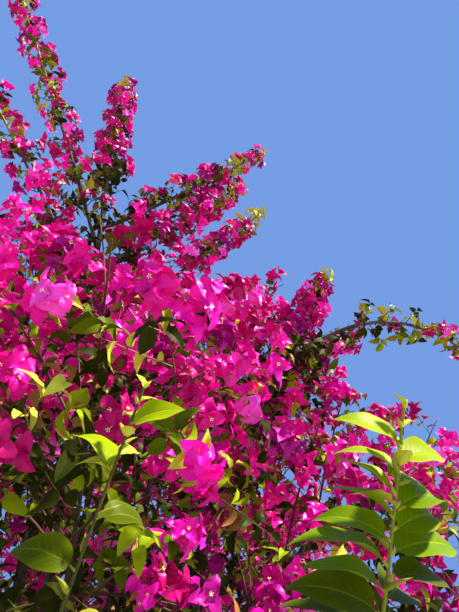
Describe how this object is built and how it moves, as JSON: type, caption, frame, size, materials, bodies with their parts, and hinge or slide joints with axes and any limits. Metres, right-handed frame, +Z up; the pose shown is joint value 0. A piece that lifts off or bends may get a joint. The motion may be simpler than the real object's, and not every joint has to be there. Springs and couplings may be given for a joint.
{
  "type": "bougainvillea bush",
  "caption": "Garden shrub of magenta blossom: a short forked trunk, spreading boughs, a dense rounded crown, and long flowering canes arching out of it.",
  "frame": {"origin": "middle of the flat cut under the trunk, at ground level", "axes": "+Z up along the trunk, the pictured side of the bush towards -Y, +X to the right as that side is faced"},
  "size_m": [3.0608, 2.92, 3.6227],
  "materials": {
    "bark": "matt grey-brown bark with lengthwise furrows",
    "blossom_foliage": "papery magenta bracts with small cream flowers among green leaves",
    "leaf_foliage": "mid-green oval leaves, slightly glossy",
    "young_shoot": "bright yellow-green young leaves on green stems"
  },
  "bodies": {
    "root": {"trunk": "bark", "stem_1": "bark", "stem_2": "bark", "stem_3": "bark", "stem_4": "bark", "stem_5": "bark", "stem_6": "bark", "skirt_bough_1": "bark", "skirt_bough_2": "bark", "skirt_bough_3": "bark", "skirt_bough_4": "bark", "skirt_bough_5": "bark", "shoulder_bough_1": "bark", "shoulder_bough_2": "bark", "shoulder_bough_3": "bark", "shoulder_bough_4": "bark", "crown_bough_1": "bark", "front_tall_bough": "bark", "right_tall_bough": "bark", "back_tall_bough": "bark", "left_tall_bough": "bark", "skirt_mass_1": "leaf_foliage", "skirt_mass_2": "leaf_foliage", "skirt_mass_3": "leaf_foliage", "skirt_mass_4": "leaf_foliage", "skirt_mass_5": "leaf_foliage", "waist_mass_1": "blossom_foliage", "waist_mass_2": "blossom_foliage", "waist_mass_3": "blossom_foliage", "waist_mass_4": "blossom_foliage", "waist_mass_5": "blossom_foliage", "waist_mass_6": "blossom_foliage", "shoulder_mass_1": "blossom_foliage", "shoulder_mass_2": "blossom_foliage", "shoulder_mass_3": "blossom_foliage", "shoulder_mass_4": "blossom_foliage", "crown_mass_1": "blossom_foliage", "front_cane_1": "blossom_foliage", "front_cane_2": "blossom_foliage", "front_cane_3": "blossom_foliage", "front_cane_4": "blossom_foliage", "front_cane_5": "blossom_foliage", "front_cane_6": "blossom_foliage", "right_cane_1": "blossom_foliage", "right_cane_2": "blossom_foliage", "back_cane_1": "blossom_foliage", "back_cane_2": "blossom_foliage", "back_cane_3": "blossom_foliage", "left_cane_1": "blossom_foliage", "left_cane_2": "blossom_foliage", "left_cane_3": "blossom_foliage", "right_whip": "young_shoot", "middle_whip": "young_shoot", "back_whip": "young_shoot"}
  },
  "joints": []
}
